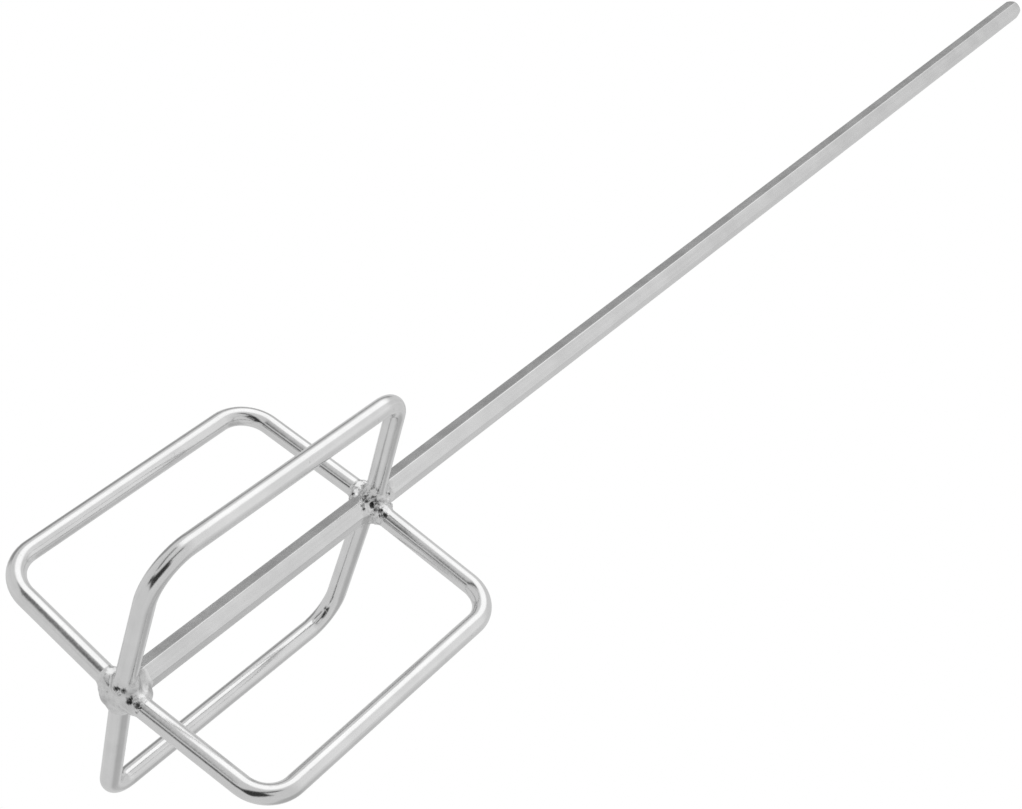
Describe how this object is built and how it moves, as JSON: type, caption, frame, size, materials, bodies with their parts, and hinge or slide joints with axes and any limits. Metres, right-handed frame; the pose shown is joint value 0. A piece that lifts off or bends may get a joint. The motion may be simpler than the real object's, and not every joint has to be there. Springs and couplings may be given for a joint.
{
  "type": "mortar mixing paddle",
  "caption": "Open cage of bent round rods welded round the lower end of a plain hexagonal bar, turned by a drill to stir mortar.",
  "frame": {"origin": "centre of the shank's flat end face, where the bar goes into the drill chuck", "axes": "+Z along the shaft from the cage to the drill end; +X through the upright of cage_rod_1, +Y through the upright of cage_rod_2"},
  "size_m": [0.1174, 0.1178, 0.6],
  "materials": {
    "bar": "bright zinc plate over drawn hexagonal steel bar, faint lines along its length",
    "rod": "bright zinc plate over smooth round steel rod",
    "weld": "zinc-plated weld metal, rippled and duller than the rods, with small dark pits"
  },
  "bodies": {
    "root": {"hex_shaft": "bar", "cage_rod_1": "rod", "cage_rod_2": "rod", "cage_rod_3": "rod", "cage_rod_4": "rod", "upper_weld_1": "weld", "upper_weld_2": "weld", "upper_weld_3": "weld", "upper_weld_4": "weld", "lower_weld_1": "weld", "lower_weld_2": "weld", "lower_weld_3": "weld", "lower_weld_4": "weld", "end_weld": "weld"}
  },
  "joints": []
}
